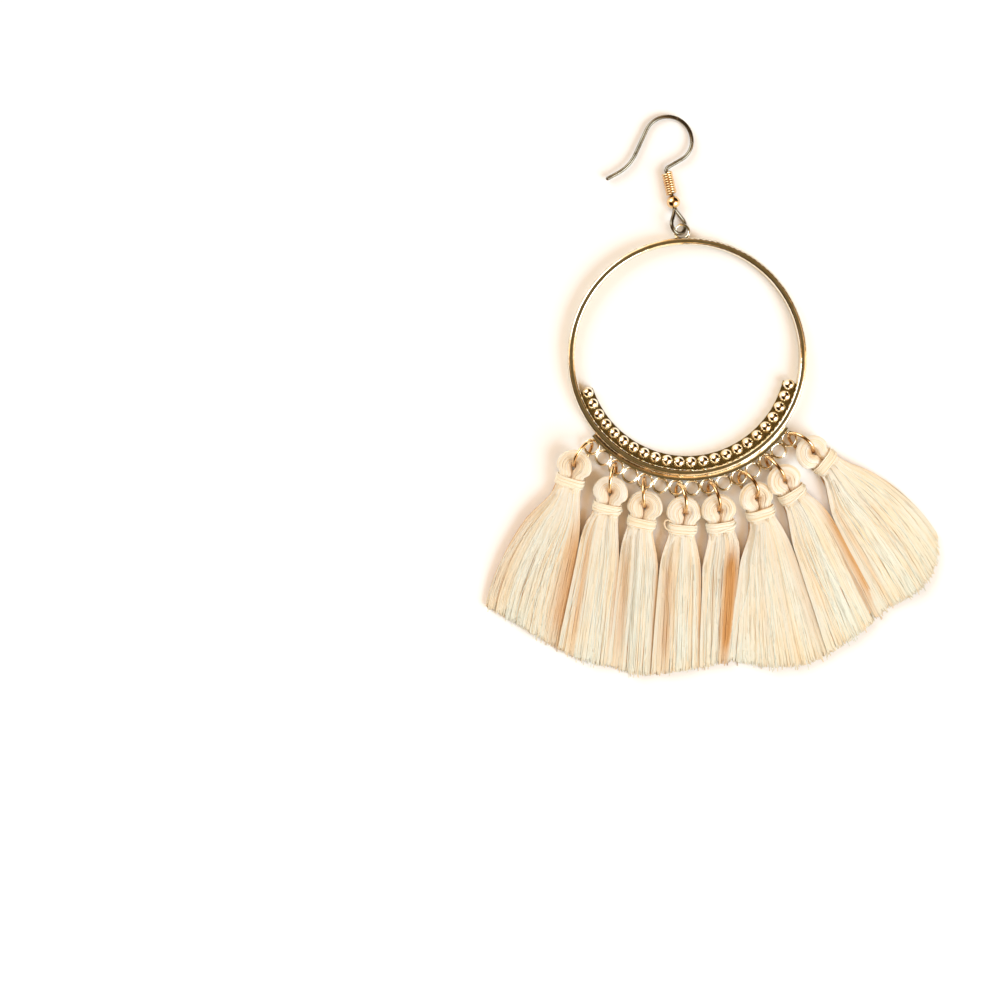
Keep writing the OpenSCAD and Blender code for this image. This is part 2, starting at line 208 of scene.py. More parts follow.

# %% [markdown]
# ## The hoop's bands and ledge
#
# Polishing stones round the edges of a casting's flat bands, so each band mirrors a wider stretch
# of the room than a flat one would. The ledge under the beads is painted a little darker, as
# painted shade for the shade that falls between the beads. Both follow the hoop's own form, so
# they are worked out from how far a place is from the hoop's axis and how high it is. The crown
# is so slight that a bump in the plate's material shows it, and the casting stays as it is.

# %% Polish that follows the hoop
# The ring's two radii, the outer band's outer one, and the radius of the crown on both
RING_IN, RING_OUT, BAND_OUT = 18.8 * MM, 20.0 * MM, 21.1 * MM
RING_MID = (RING_IN + RING_OUT) / 2
CROWN_R = 1.5 * MM
# The ledge's painted shade fades out from the ring's inner radius to this one, and from the
# first of these heights to the second
LEDGE_END = 18.95 * MM
LEDGE_Z, BEADS_Z = 0.9 * MM, 1.7 * MM


def from_axis(tree, place):
    """How far a place is from the hoop's axis, in metres, and its height."""
    parts = add(tree, "ShaderNodeSeparateXYZ", {"Vector": place}).outputs
    flat = add(tree, "ShaderNodeCombineXYZ", {"X": parts["X"], "Y": parts["Y"]})
    out = add(tree, "ShaderNodeVectorMath", {0: flat}, operation="LENGTH").outputs["Value"]
    return out, parts["Z"]


def ledge_shade_mask(tree, out, height):
    """The mask of the painted shade: one on the hoop's ledge under its beads, and none elsewhere.
    """
    inside = add(
        tree, "ShaderNodeMapRange", {"Value": out, "From Min": LEDGE_END, "From Max": RING_IN}
    )
    low = add(
        tree, "ShaderNodeMapRange", {"Value": height, "From Min": BEADS_Z, "From Max": LEDGE_Z}
    )
    return add(tree, "ShaderNodeMath", {0: inside, 1: low}, operation="MULTIPLY")


def crowned(tree, out, normal):
    """Tilts the hoop's flat bands a little to both sides, as polishing leaves them."""
    across = add(tree, "ShaderNodeMath", {0: out, 1: RING_OUT, 2: RING_IN}, operation="WRAP")
    off = add(tree, "ShaderNodeMath", {0: across, 1: RING_MID}, operation="SUBTRACT")
    square = add(tree, "ShaderNodeMath", {0: off, 1: off}, operation="MULTIPLY")
    height = add(tree, "ShaderNodeMath", {0: square, 1: -0.5 / CROWN_R}, operation="MULTIPLY")
    past_ledge = add(tree, "ShaderNodeMath", {0: out, 1: RING_IN}, operation="GREATER_THAN")
    in_band = add(tree, "ShaderNodeMath", {0: out, 1: BAND_OUT}, operation="LESS_THAN")
    on_bands = add(tree, "ShaderNodeMath", {0: past_ledge, 1: in_band}, operation="MULTIPLY")
    return add(
        tree, "ShaderNodeBump",
        {"Strength": on_bands, "Distance": 1.0, "Height": height, "Normal": normal},
    )


print(f"ring from {RING_IN / MM:.1f} to {RING_OUT / MM:.1f} mm, band to {BAND_OUT / MM:.1f} mm")

# %% [markdown]
# ## Gold plate
#
# The hoop is a zinc casting, polished and plated with pale gold. Plate is a metal, so it has no
# colour of its own but that of its reflections. Tumble polishing leaves faint waves of about a
# millimetre and hair scratches, which break up the reflections of the round beads. The jump
# rings, the coil and the ear wire's bead are of redder gold. The ear wire is a paler, duller wire,
# and its colour is painted darker still, as painted shade for the dark that it mirrors, so it
# looks darker than the rest.

# %% Gold plate and wire
# Sizes in millimetres: clouds in the plate's tint, the grain of its hair scratches, and the
# length and height of its waves
TINT_MM, SCRATCH_MM, WAVE_MM, WAVE_H = 2.5, 0.5, 1.3, 0.3


def plated(name, colour, shade, roughness, wave=0.05, ledge=None):
    made, tree = material(name)
    place = add(tree, "ShaderNodeTexCoord").outputs["Object"]
    cloud = add(
        tree, "ShaderNodeTexNoise", {"Vector": place, "Scale": 1 / (TINT_MM * MM), "Detail": 3}
    )
    tint = add(tree, "ShaderNodeValToRGB", {"Fac": cloud}, [(0.35, shade), (0.62, colour)])
    rub = add(
        tree, "ShaderNodeTexNoise", {"Vector": place, "Scale": 1 / (SCRATCH_MM * MM), "Detail": 4}
    )
    rough = add(
        tree, "ShaderNodeMapRange",
        {"Value": rub, "To Min": roughness * 0.7, "To Max": roughness * 1.4},
    )
    swell = add(
        tree, "ShaderNodeTexNoise", {"Vector": place, "Scale": 1 / (WAVE_MM * MM), "Detail": 1}
    )
    normal = add(
        tree, "ShaderNodeBump", {"Strength": wave, "Distance": WAVE_H * MM, "Height": swell}
    )
    # The ledge colour is painted shade, mixed in on the ledge under the beads.
    if ledge:
        out, height = from_axis(tree, place)
        ledge_painted_shade = ledge_shade_mask(tree, out, height)
        tint = add(
            tree, "ShaderNodeMix", {0: ledge_painted_shade, 6: tint, 7: ledge}, data_type="RGBA"
        ).outputs[2]
        normal = crowned(tree, out, normal)
    shader = add(
        tree, "ShaderNodeBsdfPrincipled",
        {"Base Color": tint, "Metallic": 1.0, "Roughness": rough, "Normal": normal},
    )
    add(tree, "ShaderNodeOutputMaterial", {"Surface": shader})
    return made


# The ledge colour #CDB688 is painted shade for the shade between the beads.
cast_gold = plated("cast_gold_plate", "#FFF4E0", "#EEE0C2", 0.13, wave=0.12, ledge="#CDB688")
gold_wire = plated("gold_plated_wire", "#F2D0A0", "#D0A472", 0.12)
# The ear wire's colours are painted darker than its pale gold, as painted shade.
pale_wire = plated("pale_gold_wire", "#8F8472", "#655C4E", 0.2)
for name, node in nodes.items():
    if name == "hoop":
        node.data.materials[0] = cast_gold
    elif name == "ear_hook":
        node.data.materials[0] = pale_wire
    elif name.startswith(("jump", "hook")):
        node.data.materials[0] = gold_wire
print("plated:", sum(not n.startswith(("tassel", "binding")) for n in nodes), "solids")

# %% [markdown]
# ## Thread
#
# The tassels are of silky thread, laid here a fifth of a millimetre thick. The top threads are
# cream. Light that goes down between them comes back warmer, so threads that lie deep are painted
# more orange, as painted shade. Each thread carries numbers for this: its own shade, how much of
# that painted shade it takes, and how far down the skirt each point of it is. A dull shader with a
# little sheen gives the soft gloss of silk.

# %% Thread material
THREAD_NUMBERS = ("shade", "depth", "along")
# Sizes in millimetres: patches where the thread is less bright, and its twist, which is drawn
# coarser than it is so that it shows, with the twist's height
PATCH_MM, TWIST_MM, TWIST_H = 7, 0.35, 0.06


def silky(name, along_stops, faded, deep):
    made, tree = material(name)
    shade, depth, along = (
        add(tree, "ShaderNodeAttribute", attribute_name=a).outputs["Fac"]
        for a in THREAD_NUMBERS
    )
    place = add(tree, "ShaderNodeTexCoord").outputs["Object"]
    patch = add(
        tree, "ShaderNodeTexNoise", {"Vector": place, "Scale": 1 / (PATCH_MM * MM), "Detail": 2}
    )
    both = add(tree, "ShaderNodeMath", {0: shade, 1: patch}, operation="ADD")
    bright = add(tree, "ShaderNodeMapRange", {"Value": both, "From Min": 0.5, "From Max": 1.35})
    top = add(tree, "ShaderNodeValToRGB", {"Fac": along}, along_stops)
    lit = add(tree, "ShaderNodeMix", {0: bright, 6: faded, 7: top}, data_type="RGBA").outputs[2]
    # Threads that lie deep take the deep colour, as painted shade.
    with_painted_shade = add(tree, "ShaderNodeMix", {0: depth, 6: lit, 7: deep}, data_type="RGBA").outputs[2]
    twist = add(
        tree, "ShaderNodeTexNoise", {"Vector": place, "Scale": 1 / (TWIST_MM * MM), "Detail": 3}
    )
    normal = add(
        tree, "ShaderNodeBump", {"Strength": 0.15, "Distance": TWIST_H * MM, "Height": twist}
    )
    shader = add(
        tree, "ShaderNodeBsdfPrincipled",
        {
            "Base Color": with_painted_shade,
            "Roughness": 0.6,
            "Normal": normal,
            "Sheen Weight": 0.3,
            "Sheen Roughness": 0.4,
            "Sheen Tint": "#FFF2DE",
        },
    )
    add(tree, "ShaderNodeOutputMaterial", {"Surface": shader})
    return made


tassel_thread = silky(
    "silky_tassel_thread",
    [(0.0, "#F0EADC"), (0.25, "#E9E8DA"), (0.75, "#E7E8DA"), (1.0, "#E3E4D4")],
    "#EED8B2", "#D49C58",
)
binding_thread = silky(
    "wound_binding_thread", [(0.0, "#F0E9D6"), (1.0, "#EEE7D2")], "#EBDAB8", "#DCA66C"
)
# Cores and bands under the threads take this orange colour as painted shade.
painted_shade_thread = silky(
    "painted_shade_thread", [(0.0, "#F4D2A4"), (1.0, "#F0CE9C")], "#EABE84", "#DCA264"
)
print("thread materials:", tassel_thread.name, binding_thread.name, painted_shade_thread.name)

# %% [markdown]
# ## Where the threads run
#
# Each tassel is a hank of thread folded over its jump ring. A head thread goes up one half of the
# hank, over the ring and down the other half. A skirt thread runs from the neck to the hem. These
# functions give places on a tassel, in millimetres, from the same rules as the solid model's. On
# a head, a is how far down its middle line a place is, and b how far to its right. On a skirt,
# s goes from -1 to 1 across it, and t from 0 at the neck to 1 at the hem.

# %% Places on a head
# A whole turn in radians, as the threads' waves take it
ROUND = 6.28


def sin(a):
    return math.sin(math.radians(a))


def cos(a):
    return math.cos(math.radians(a))


def way(a):
    """The direction at an angle, from straight down and positive to the right."""
    return np.array([sin(a), -cos(a)])


def side(a):
    """The direction to the right of that way, as the picture shows it."""
    return np.array([cos(a), sin(a)])


def smooth(t):
    """Goes from 0 to 1 as t does, and leaves and arrives level."""
    u = np.clip(t, 0, 1)
    return u * u * (3 - 2 * u)


def jump_centre(i):
    """The middle of a jump ring that leans on its eyelet, and its height."""
    ring, lean = TASSELS[i][RING_WAY], TASSELS[i][LEAN]
    z = JUMP_R * cos(lean) + JUMP_WIRE / 2
    rise = (z - MID_Z) / (JUMP_R * cos(lean))
    shift = (z - MID_Z) * math.tan(math.radians(lean))
    eyelet = EYELET_R * way(EYELET_STEP * (2 * i - len(TASSELS) + 1))
    return eyelet + JUMP_R * math.sqrt(1 - rise**2) * way(ring) - shift * side(ring), z


def hole(i):
    """The middle of the hole in a head, and its height."""
    centre, z = jump_centre(i)
    reach = JUMP_R + HEAD_HOLE_D / 2 - JUMP_WIRE / 2 - FOLD_GAP
    return centre + reach * way(TASSELS[i][RING_WAY]), z


def head_point(i, a, b, z):
    head = TASSELS[i][HEAD_WAY]
    return np.append(hole(i)[0] + a * way(head) + b * side(head), z)


def neck_at(a):
    """The height of the neck's middle, which slopes down to the skirt."""
    return NECK_Z + (BINDING_TO - a) * math.tan(math.radians(NECK_SLOPE))


print("holes of the heads:", [hole(i)[0].round(1).tolist() for i in range(len(TASSELS))])


# %% Places on a skirt
def neck_corner(i, s):
    """Where the skirt leaves the neck, on the left with s = -1 and on the right with s = 1."""
    return head_point(i, SKIRT_FROM, s * NECK_W, 0)[:2]


def border(j, t):
    """The line between two skirts, or the outer edge of the first or the last one."""
    last = len(TASSELS)
    place, reach = HEMS[j]
    hem = (FAN_R + SKIRT_L * reach) * way(EYELET_STEP * place)
    if j == 0:
        crotch, out = neck_corner(0, -1), -side(TASSELS[0][HEAD_WAY])
    elif j == last:
        crotch, out = neck_corner(last - 1, 1), side(TASSELS[last - 1][HEAD_WAY])
    else:
        crotch, out = (neck_corner(j - 1, 1) + neck_corner(j, -1)) / 2, np.zeros(2)
    return crotch + (hem - crotch) * t + 4 * t * (1 - t) * SKIRT_BOW * out


def skirt_edge(i, s, t, gain):
    """The skirt's edge on the side s, with gain as the share that it has gone to its border."""
    head = TASSELS[i][HEAD_WAY]
    start = neck_corner(i, s) + t * SKIRT_L * way(head)
    edge = border(i + (s > 0), t) - s * SKIRT_GAP / 2 * side(head)
    return start + (edge - start) * gain


def solid_gain(t):
    return smooth(t / MERGE)


def thread_gain(t):
    """Loose threads fan straight out of the binding, sooner than the solid does."""
    return 1 - (1 - np.clip(t / MERGE, 0, 1)) ** 2


def hem_round(i, s):
    """How far the hem hangs out at s across the skirt, as a share of the skirt's length."""
    return TASSELS[i][HEM_ROUND] * (1 - s * s) * (1 + TASSELS[i][HEM_RIGHT] * s)


def between(left, right, s):
    return left + (right - left) * (1 + s) / 2


def hem_width(i):
    return np.linalg.norm(skirt_edge(i, -1, 1.0, 1.0) - skirt_edge(i, 1, 1.0, 1.0))


for i in range(len(TASSELS)):
    print(f"tassel {i + 1}: hem {hem_width(i):.1f} mm wide")

# %% [markdown]
# ## Heights from the solids
#
# The solid skirt says how thick the tassel is at each place. A ray dropped on it from above finds
# its top, and a ray from below finds its underside. This is done once on a grid across and down
# each skirt. Loose threads even out the solid's locks and spread a little sooner under the
# binding, so the heights are smoothed across and the threads get their own edges.

# %% Heights
# Where the rays start, in metres, and the grid of places that they are sent to
HIGH, LOW = 0.02, -0.01
ACROSS = np.linspace(-0.94, 0.94, 29)
DOWN = np.linspace(0.02, 0.94, 24)
# The underside and the top in millimetres that stand in until a ray first meets the solid
FIRST_SPAN = (0.1, 1.0)
SMOOTHINGS = 3
# The places down a skirt at which the threads' edges are worked out
EDGE_DOWN = np.linspace(-0.06, 1.24, 66)
TINY = 1e-6


class Skirt:
    """Where the threads of a skirt can lie."""

    def __init__(self, i):
        mesh = nodes[f"tassel_{i + 1}"].data
        points = [v.co.copy() for v in mesh.vertices]
        tree = BVHTree.FromPolygons(points, [tuple(p.vertices) for p in mesh.polygons])
        spans, span = [], FIRST_SPAN
        for t in DOWN:
            left, right = (skirt_edge(i, s, t, solid_gain(t)) for s in (-1, 1))
            for s in ACROSS:
                x, y = between(left, right, s) * MM
                top = tree.ray_cast(Vector((x, y, HIGH)), Vector((0, 0, -1)))[0]
                low = tree.ray_cast(Vector((x, y, LOW)), Vector((0, 0, 1)))[0]
                if top is not None and low is not None:
                    span = (low.z / MM, top.z / MM)
                spans.append(span)
        grid = np.array(spans).reshape(len(DOWN), len(ACROSS), 2)
        for _ in range(SMOOTHINGS):
            padded = np.concatenate([grid[:, :1], grid, grid[:, -1:]], axis=1)
            grid = (padded[:, :-2] + 2 * padded[:, 1:-1] + padded[:, 2:]) / 4
        self.grid = grid
        self.edges = [
            np.array([skirt_edge(i, s, t, thread_gain(t)) for t in EDGE_DOWN]) for s in (-1, 1)
        ]

    def at(self, s, t):
        """Places at s across and t down, with the underside and the top there."""
        left, right = (
            np.column_stack([np.interp(t, EDGE_DOWN, edge[:, k]) for k in (0, 1)])
            for edge in self.edges
        )
        row = (np.clip(t, DOWN[0], DOWN[-1] - TINY) - DOWN[0]) / (DOWN[1] - DOWN[0])
        column = (np.clip(s, ACROSS[0], ACROSS[-1] - TINY) - ACROSS[0]) / (ACROSS[1] - ACROSS[0])
        a, b = row.astype(int), column.astype(int)
        f, g = (row - a)[:, None], (column - b)[:, None]
        grid = self.grid
        span = (grid[a, b] * (1 - f) + grid[a + 1, b] * f) * (1 - g) + (
            grid[a, b + 1] * (1 - f) + grid[a + 1, b + 1] * f
        ) * g
        return between(left, right, s[:, None]), span[:, 0], span[:, 1]


skirts = [Skirt(i) for i in range(len(TASSELS))]
print("middle of tassel 4:", skirts[3].at(np.array([0.0]), np.array([0.5])))

# %% [markdown]
# ## Laying thread
#
# A line of points becomes a thread when a small round profile is swept along it. Hundreds of lines
# are swept at once by one node tree, with the thread's thickness and number of sides as inputs. A
# thread is seen as a fine line only, so it needs few sides. The thickness varies a little from one
# thread to the next, from a fixed seed.

# %% The thread-laying tree
GIRTH_SEED = 7


def laying_tree():
    tree = bpy.data.node_groups.new("lay_thread", "GeometryNodeTree")
    ports = tree.interface
    ports.new_socket("Geometry", in_out="INPUT", socket_type="NodeSocketGeometry")
    for name, kind in [
        ("Thickness", "NodeSocketFloat"),
        ("Sides", "NodeSocketInt"),
        ("Unevenness", "NodeSocketFloat"),
        ("Material", "NodeSocketMaterial"),
    ]:
        ports.new_socket(name, in_out="INPUT", socket_type=kind)
    ports.new_socket("Geometry", in_out="OUTPUT", socket_type="NodeSocketGeometry")
    given = add(tree, "NodeGroupInput").outputs
    lines = add(tree, "GeometryNodeMeshToCurve", {"Mesh": given["Geometry"]})
    half = add(tree, "ShaderNodeMath", {0: given["Thickness"], 1: 0.5}, operation="MULTIPLY")
    ring = add(
        tree, "GeometryNodeCurvePrimitiveCircle", {"Resolution": given["Sides"], "Radius": half}
    )
    thread = add(tree, "GeometryNodeInputNamedAttribute", {"Name": "thread"}, data_type="INT")
    least = add(tree, "ShaderNodeMath", {0: 1.0, 1: given["Unevenness"]}, operation="SUBTRACT")
    # Sockets 2 and 3 are the least and the greatest number, and output 1 is the number drawn
    girth = add(
        tree, "FunctionNodeRandomValue",
        {2: least, 3: 1.0, "ID": thread, "Seed": GIRTH_SEED}, data_type="FLOAT",
    ).outputs[1]
    swept = add(
        tree, "GeometryNodeCurveToMesh",
        {"Curve": lines, "Profile Curve": ring, "Scale": girth, "Fill Caps": True},
    )
    soft = add(tree, "GeometryNodeSetShadeSmooth", {"Geometry": swept})
    real = add(tree, "GeometryNodeRealizeInstances", {"Geometry": soft})
    done = add(
        tree, "GeometryNodeSetMaterial", {"Geometry": real, "Material": given["Material"]}
    )
    add(tree, "NodeGroupOutput", {"Geometry": done})
    return tree


lay_thread = laying_tree()
input_ids = {
    item.name: item.identifier
    for item in lay_thread.interface.items_tree
    if item.in_out == "INPUT"
}
print("inputs:", list(input_ids))


# %% Sweep lines into one plain mesh
def put(name, mesh):
    made = bpy.data.objects.new(name, mesh)
    bpy.context.scene.collection.objects.link(made)
    return made


def lay(name, lines, thickness, finish, sides=3, unevenness=0.25):
    """Sweeps lines, each (points in mm, shade, depth, along), into one object's plain mesh."""
    points = np.concatenate([line[0] for line in lines]) * MM
    counts = [len(line[0]) for line in lines]
    starts = np.cumsum([0] + counts[:-1])
    edges = []
    for start, count in zip(starts, counts):
        edges += [(start + k, start + k + 1) for k in range(count - 1)]
    mesh = bpy.data.meshes.new(name)
    mesh.from_pydata(points.tolist(), edges, [])
    for column, attribute in enumerate(THREAD_NUMBERS, start=1):
        values = [np.broadcast_to(line[column], count) for line, count in zip(lines, counts)]
        layer = mesh.attributes.new(attribute, "FLOAT", "POINT")
        layer.data.foreach_set("value", np.concatenate(values).astype(np.float32))
    which = np.concatenate([np.full(c, k) for k, c in enumerate(counts)])
    mesh.attributes.new("thread", "INT", "POINT").data.foreach_set("value", which)
    made = put(name, mesh)
    modifier = made.modifiers.new("lay_thread", "NODES")
    modifier.node_group = lay_thread
    modifier[input_ids["Thickness"]] = thickness * MM
    modifier[input_ids["Sides"]] = sides
    modifier[input_ids["Unevenness"]] = unevenness
    modifier[input_ids["Material"]] = finish
    graph = bpy.context.evaluated_depsgraph_get()
    plain = bpy.data.meshes.new_from_object(made.evaluated_get(graph))
    made.modifiers.remove(modifier)
    made.data = plain
    bpy.data.meshes.remove(mesh)
    return made


print("each thread carries", THREAD_NUMBERS)

# %% [markdown]
# ## Skirts
#
# A skirt is a few hundred threads. They leave the neck side by side and lean on their neighbours,
# so they gather in strands and cross a little. Threads are laid in layers: on top, under the top,
# along the underside, and up the two sides. Short ends fill the hem, where the trimmed ends of the
# inner threads show.

# %% One skirt thread
THREAD_D = 0.2
# How far a thread's middle keeps over the underside and under the top, in millimetres
OVER_LOW, UNDER_HIGH = THREAD_D * 0.5, THREAD_D * 0.2
# How far a skirt's left threads lie over its neighbour and how soon they climb it, as shares of
# half the skirt's width, and how much higher they lie there, in millimetres
OVER, CLIMB = 0.12, 0.03
LIFTED = 0.2

# Painted shadows on the skirts, in the deep colour of shaded thread: the tassel, the place across
# its skirt from -1 to 1, half the width of the shadow, and how strong it is
PAINTED_SHADOWS = [
    (1, -0.95, 0.3, 0.2), (1, 0.85, 0.25, 0.75),
    (2, -0.6, 0.16, 0.55), (2, 0.97, 0.12, 0.35),
    (3, -0.7, 0.25, 0.5), (3, 0.9, 0.14, 0.35),
    (4, -0.6, 0.25, 0.6), (4, 0.95, 0.12, 0.4),
    (5, -0.3, 0.1, 0.1), (5, 0.55, 0.4, 1.3),
    (6, -0.25, 0.08, 0.15), (6, 0.2, 0.1, 0.15), (6, 0.85, 0.2, 0.25),
    (7, -0.7, 0.1, 0.15), (7, 0.92, 0.25, 0.75),
    (8, -0.8, 0.12, 0.3), (8, 0.1, 0.1, 0.15),
]
# The painted shadows grow over this share of the skirt from the neck down. At the hem the trimmed
# ends spring up and catch the light, so over its last part all painted shade fades by a share
PARTS_BY = 0.35
FADES_FROM, FADES_BY = 0.75, 0.6


def painted_shadow(i, s, t):
    """The painted shadow s across and t down the skirt, as a depth for the deep colour."""
    depth = sum(
        amount * np.exp(-(((s - place) / half) ** 2))
        for tassel, place, half, amount in PAINTED_SHADOWS
        if tassel == i + 1
    )
    return depth * smooth(t / PARTS_BY)


def skirt_line(i, rng, s_neck, s_hem, up, t0, t1, steps, shade, depth, wobble=0.012):
    """A thread from t0 to t1 down the skirt, with up as the share of its height."""
    ts = np.linspace(t0, t1, steps)
    phase, turns = rng.uniform(0, ROUND), rng.uniform(0.5, 1.6)
    s = s_neck + (s_hem - s_neck) * smooth(ts) + wobble * np.sin(phase + ROUND * turns * ts)
    s = np.clip(s, -1 - OVER, 1)
    xys, low, top = skirts[i].at(s, ts)
    low, top = low + OVER_LOW, top - UNDER_HIGH
    z = np.maximum(low + (top - low) * up, OVER_LOW) + LIFTED * smooth((-1 - s) / CLIMB)
    along = np.clip(ts, 0, 1)
    fade = 1 - FADES_BY * smooth((along - FADES_FROM) / (1 - FADES_FROM))
    return np.column_stack([xys, z]), shade, (depth + painted_shadow(i, s, along)) * fade, along


def hem_end(i, rng, s, low, high):
    """Where a thread is trimmed, between two shares of the skirt's length and out to its hem."""
    return rng.uniform(low, high) + hem_round(i, s)


# The count is of the painted shadows in the skirts.
print(f"thread {THREAD_D} mm thick, with {len(PAINTED_SHADOWS)} partings in the skirts")

# %% Threads in layers
# Threads on top for each millimetre of the hem, and the layers from the top down: what the top's
# count is divided by, the share of the height that their threads lie at, how much painted shade
# they take for lying deep, and the points of a thread
TOP_THREADS = 17
LAYERS = [
    (1, (0.985, 1.015), 0.03, 20),
    (2, (0.92, 0.97), 0.22, 16),
    (3, (0.0, 0.05), 0.7, 10),
]
# How far across the layers reach, and where their threads start, inside the binding
SPREAD = 0.99
TUCKED_FROM = -0.04
# Where most threads are trimmed, where the rest are, and how many are the first kind
TRIMMED, RAGGED, TRIMMED_SHARE = (0.965, 1.005), (0.9, 1.03), 0.8


def layer_lines(i, rng, count, ups, layer_painted_shade, steps, strands, tones):
    """A layer, whose threads lean to the nearest strand and take half their tone from it."""
    for k in range(count):
        s = -SPREAD + 2 * SPREAD * (k + rng.uniform(0.1, 0.9)) / count
        nearest = np.argmin(abs(strands - s))
        to = s + (strands[nearest] - s) * rng.uniform(0.0, 0.5) + rng.normal(0, 0.04)
        end = hem_end(i, rng, to, *(TRIMMED if rng.random() < TRIMMED_SHARE else RAGGED))
        shade = 0.5 * tones[nearest] + 0.5 * rng.random()
        # Threads near a skirt's edges take more painted shade, where its neighbour shades them.
        depth = layer_painted_shade * rng.uniform(0.5, 1.3) + 0.2 * smooth((abs(s) - 0.85) / 0.15)
        up = rng.uniform(*ups)
        yield skirt_line(i, rng, s, to, up, TUCKED_FROM, end, steps, shade, depth)


print("top threads of the skirts:", [int(hem_width(i) * TOP_THREADS) for i in range(len(TASSELS))])

# %% Threads up the sides and over the neighbour
SIDE_THREADS = 34
OVER_THREADS = 30


def side_lines(i, rng):
    """Threads up the two sides, painted darker the lower they lie, as painted shade."""
    for edge in (-1, 1):
        for _ in range(SIDE_THREADS):
            s = edge * rng.uniform(0.95, 1.0)
            to, end = s * rng.uniform(0.97, 1.0), hem_end(i, rng, s, 0.96, 1.0)
            shade, up = rng.random(), rng.random()
            depth = rng.uniform(0.8, 1.0) * (1 - 0.85 * up)
            yield skirt_line(i, rng, s, to, up, TUCKED_FROM, end, 16, shade, depth)


def over_lines(i, rng):
    """Threads on the left that stray over the neighbouring skirt."""
    for _ in range(OVER_THREADS):
        s, to = rng.uniform(-1.0, -0.9), rng.uniform(-1 - OVER, -0.95)
        end, shade = hem_end(i, rng, -1, 0.96, 1.0), rng.uniform(0.2, 1.0)
        yield skirt_line(i, rng, s, to, 1.0, -0.02, end, 20, shade, 0.12)


print(f"{SIDE_THREADS} threads up each side, {OVER_THREADS} over the neighbour")

# %% All threads of a skirt
# Strands that a skirt's threads gather in, for each millimetre of its hem, and the fewest
STRANDS = 1.6
FEWEST_STRANDS = 6
# Short ends for each millimetre of the hem, and their length as a share of the skirt's
HEM_THREADS = 22
HEM_END_L = 0.18
STRAYS = 8


def hem_lines(i, rng, count):
    """Short ends at any height, which fill the hem."""
    for _ in range(count):
        s = rng.uniform(-0.98, 0.98)
        end = hem_end(i, rng, s, 0.95, 1.01)
        up, shade = rng.random(), rng.random()
        yield skirt_line(i, rng, s, s, up, end - HEM_END_L, end, 5, shade, 0.15, 0.004)


def stray_lines(i, rng):
    """A few bright threads that cross over the top."""
    for _ in range(STRAYS):
        s = rng.uniform(-0.85, 0.85)
        to = np.clip(s + rng.normal(0, 0.3), -1, 1)
        end = hem_end(i, rng, to, 0.85, 1.05)
        yield skirt_line(i, rng, s, to, 1.05, 0.02, end, 20, 1.0, 0.0, 0.05)


def skirt_lines(i):
    rng = np.random.default_rng(100 + i)
    width = hem_width(i)
    strands = np.sort(rng.uniform(-1, 1, max(FEWEST_STRANDS, int(width * STRANDS))))
    tones = rng.uniform(0, 1, len(strands))
    lines = []
    for part, ups, depth, steps in LAYERS:
        count = int(width * TOP_THREADS) // part
        lines += layer_lines(i, rng, count, ups, depth, steps, strands, tones)
    lines += side_lines(i, rng)
    if i > 0:
        lines += over_lines(i, rng)
    lines += hem_lines(i, rng, int(width * HEM_THREADS))
    lines += stray_lines(i, rng)
    return lines


print("strands in a skirt:", [int(hem_width(i) * STRANDS) for i in range(len(TASSELS))])

# %% [markdown]
# ## Heads
#
# Over the jump ring the hank is round, and its threads run side by side along it. Each one goes
# up one half, over the fold and down the other half, at its own angle round the hank. The two
# halves press on each other under the ring, so they meet in a crease. They are fullest beside the
# ring, and the binding draws them in.

# %% The hank's middle line
# How much fuller the head is than the solid's
FULLNESS = 0.1
# How far the two halves keep from the head's middle line, in millimetres: beside the ring, and
# in the crease, which is reached so far down
WIRE_ROOM = 0.42
CREASE = 0.05
CREASE_AT = 0.8
LEG_END = BINDING_TO + NECK_STRAND_D / 4
LEG_POINTS, FOLD_POINTS = 6, 13


def leg_station(i, a, s):
    """The middle of one half of the hank, its outward way, its height and its section there."""
    z, lean = hole(i)[1], TASSELS[i][LEAN]
    tuck = smooth((a / BINDING_FROM) ** 1.6)
    sink = smooth((a / BINDING_FROM) ** 1.5)
    b = FOLD_R + (NECK_HALF - FOLD_R) * tuck
    rise = (z + s * FOLD_R * sin(lean)) * (1 - sink) + neck_at(a) * sink
    radius = (STRAND_D + (NECK_STRAND_D - STRAND_D) * tuck) / 2
    room = b - (WIRE_ROOM + (CREASE - WIRE_ROOM) * smooth(a / CREASE_AT))
    return (a, s * b), (0, s), rise, radius, 1 + FULLNESS * (1 - tuck), room


def fold_station(i, angle):
    """The same at an angle round the fold, from -90 degrees on the left to 90 on the right."""
    z, lean = hole(i)[1], TASSELS[i][LEAN]
    outward = (-cos(angle), sin(angle))
    rise = z + FOLD_R * sin(angle) * sin(lean)
    full = 1 + FULLNESS * sin(angle) ** 2
    centre = (FOLD_R * outward[0], FOLD_R * outward[1])
    return centre, outward, rise, STRAND_D / 2, full, FOLD_R - WIRE_ROOM


def stations_along(i):
    """All of them along the hank, up its left half, over the ring and down its right half."""
    legs = np.linspace(LEG_END, 0, LEG_POINTS + 1)[:-1]
    fold = np.linspace(-90, 90, FOLD_POINTS)
    return (
        [leg_station(i, a, -1) for a in legs]
        + [fold_station(i, angle) for angle in fold]
        + [leg_station(i, a, 1) for a in legs[::-1]]
    )


print(f"{len(stations_along(0))} stations along a head, {LEG_END:.1f} mm down each half")

# %% Head threads
HEAD_THREADS = 60
# The outer and the inner threads: how far out they lie, as a share of the hank, and how much
# painted shade they take
HEAD_LAYERS = [(1.0, 0.0), (0.9, 0.2)]
# The power that flattens the hank's round section
FLATNESS = 0.75
# How far a thread twists round the hank and how much it sways, in radians
TWIST, SWAY = 0.25, 0.05


